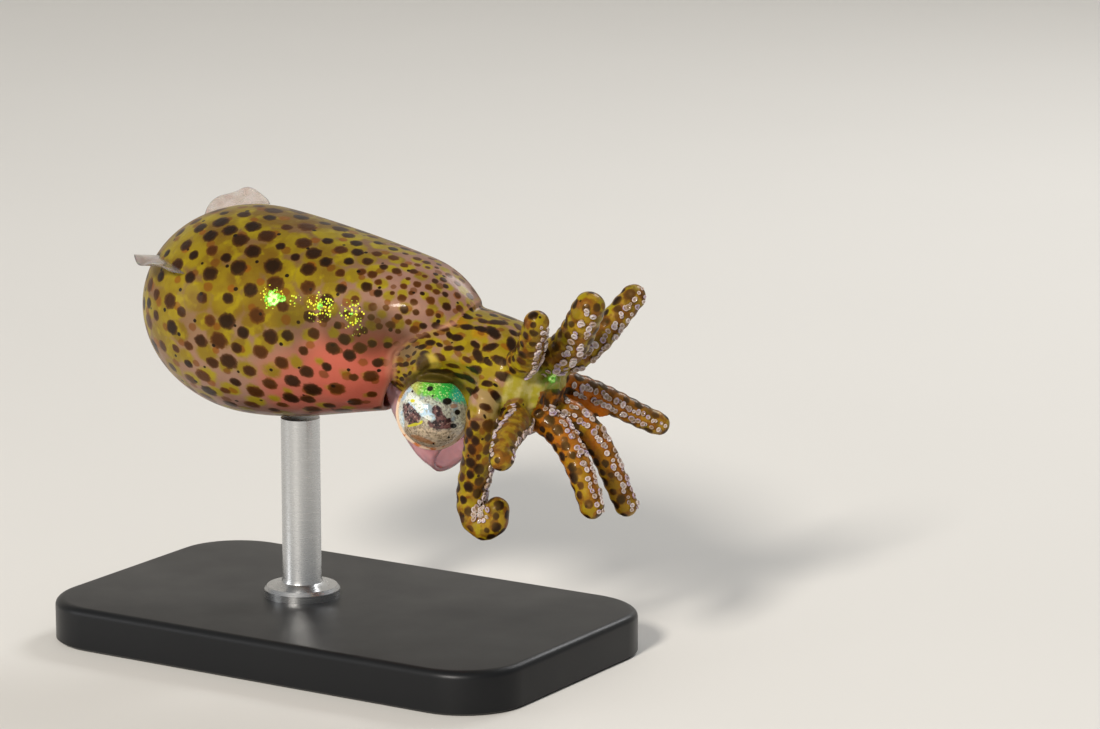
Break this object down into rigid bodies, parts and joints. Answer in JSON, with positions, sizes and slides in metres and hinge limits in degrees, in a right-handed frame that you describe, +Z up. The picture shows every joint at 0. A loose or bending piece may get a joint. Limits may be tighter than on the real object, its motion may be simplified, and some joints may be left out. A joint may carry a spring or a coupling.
{
  "type": "pygmy squid model",
  "caption": "Life-size pygmy squid with spotted barrel mantle, silver eyes, funnel and short suckered arms spread, on a small flat stand with one rod.",
  "frame": {"origin": "middle of the stand base's underside", "axes": "+X from the tail towards the arms, +Y to the squid's left, +Z up"},
  "size_m": [0.0273, 0.015, 0.0202],
  "materials": {
    "skin": "wet soft translucent skin, yellow and mauve with maroon-brown spots",
    "clear_flesh": "clear wet flesh with a pale edge",
    "eye": "wet silver iris with a green band under a clear cornea",
    "stand_base": "satin black",
    "stand_rod": "fine brushed steel"
  },
  "bodies": {
    "root": {"mantle": "skin", "head": "skin", "arm_1_right_base": "skin", "arm_1_right_tip": "skin", "arm_1_left_base": "skin", "arm_1_left_tip": "skin", "arm_2_right_base": "skin", "arm_2_right_tip": "skin", "arm_2_left_base": "skin", "arm_2_left_tip": "skin", "arm_3_right_base": "skin", "arm_3_right_tip": "skin", "arm_3_left_base": "skin", "arm_3_left_tip": "skin", "arm_4_right_base": "skin", "arm_4_right_tip": "skin", "arm_4_left_base": "skin", "arm_4_left_tip": "skin", "fin_left": "clear_flesh", "fin_right": "clear_flesh", "funnel": "clear_flesh", "eye_left": "eye", "eye_right": "eye", "stand_base": "stand_base", "stand_rod": "stand_rod"}
  },
  "joints": []
}
